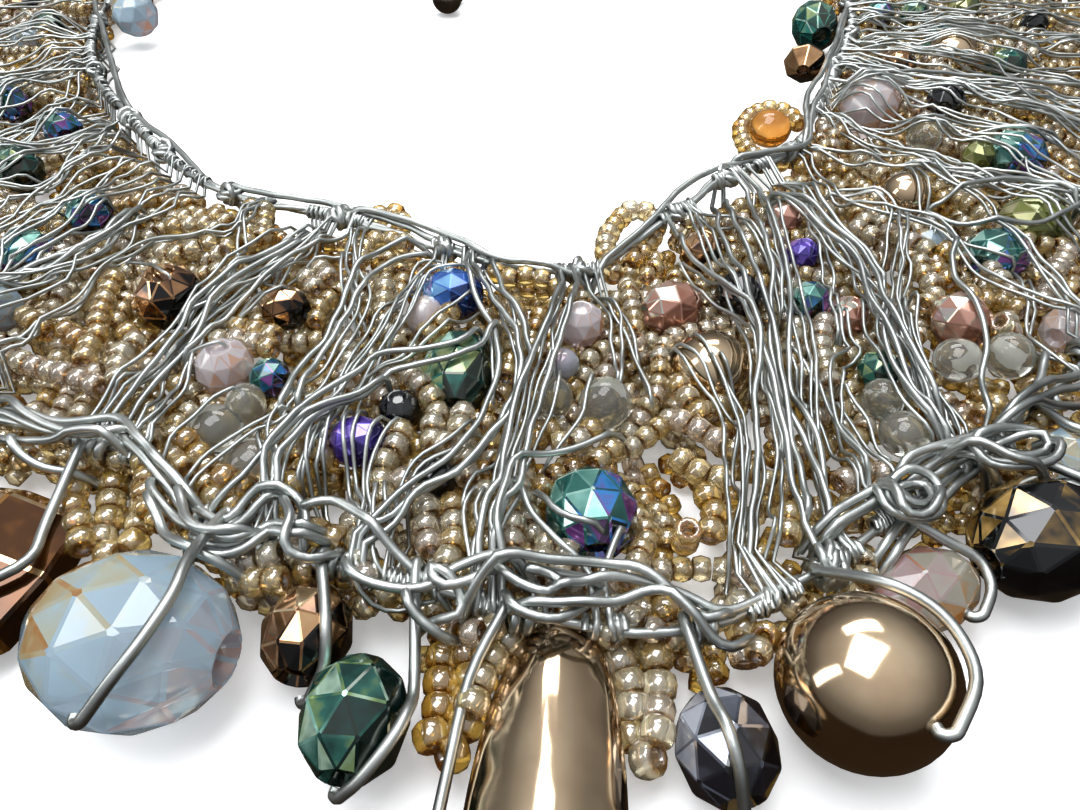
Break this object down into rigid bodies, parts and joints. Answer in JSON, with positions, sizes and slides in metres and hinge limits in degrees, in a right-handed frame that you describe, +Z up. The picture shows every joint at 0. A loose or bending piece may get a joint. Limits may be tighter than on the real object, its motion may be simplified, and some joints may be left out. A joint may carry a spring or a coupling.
{
  "type": "bib necklace",
  "caption": "Flat wire collar laced over a mat of seed bead strings, with faceted glass beads, drops along its outer wire and a chain that closes behind the neck.",
  "frame": {"origin": "on the surface that the collar lies on, under the middle of its overall width and depth", "axes": "+Z up from that surface, -Y towards the drops at the front, +X to the wearer's left as seen from the drops, which is the picture's right"},
  "size_m": [0.2306, 0.2272, 0.015],
  "materials": {
    "wire": "satin grey silver wire",
    "seed": "champagne and amber glass with a rainbow lustre",
    "teal": "faceted teal and green glass with a pink and blue lustre",
    "bronze": "faceted glass under a dark copper and bronze metallic coat",
    "opal": "faceted milky opal glass with amber edges",
    "violet": "faceted violet and blue glass with a metallic lustre",
    "rose_gold": "polished rose gold coat",
    "black": "opaque black faceted glass",
    "smoke": "clear smoke grey glass",
    "steel": "polished grey metal of the chain and clasp"
  },
  "bodies": {
    "root": {"seed_bead_bed": "seed", "wire_frame": "wire", "dark_teal_cut": "teal", "teal_lustre_cut": "teal", "green_blue_cut": "teal", "bronze_rondelle": "bronze", "opal_amber_cut": "opal", "small_bronze_cut": "bronze", "opal_copper_rondelle": "opal", "violet_cut": "violet", "cobalt_cut": "violet", "green_barrel_cut": "teal", "pink_opal_cut": "opal", "grey_clear_round": "smoke", "teal_blue_rondelle": "teal", "copper_pink_cut": "bronze", "gold_barrel_round": "rose_gold", "black_cut": "black", "rose_gold_round": "rose_gold", "neck_opal_oval": "opal", "large_rose_gold_round": "rose_gold", "side_black_cut": "black", "teal_oval_cut": "teal", "olive_cut": "teal", "teal_blue_oval_cut": "teal", "copper_pink_oval": "bronze", "past_neckline_opal": "opal", "past_neckline_teal": "teal", "past_neckline_bicone": "bronze", "long_copper_drop": "rose_gold", "opal_oval_drop": "opal", "bronze_rondelle_drop": "bronze", "teal_round_drop": "teal", "baroque_drop": "rose_gold", "grey_black_drop": "black", "big_rose_gold_ball": "rose_gold", "opal_orange_drop": "opal", "black_oval_drop": "black", "amber_opal_drop": "opal", "left_teal_drop": "teal", "left_gold_drop": "rose_gold", "left_opal_drop": "opal", "right_bronze_drop": "bronze", "right_teal_drop": "teal", "right_black_drop": "black", "seed_loop_far_left": "seed", "seed_loop_left": "seed", "seed_loop_front": "seed", "seed_loop_left_neck": "seed", "seed_loop_front_neck": "seed", "seed_loop_right_neck": "seed", "clasp_chain": "steel", "clasp": "steel", "extension_chain": "steel", "tail_drop": "steel"}
  },
  "joints": []
}
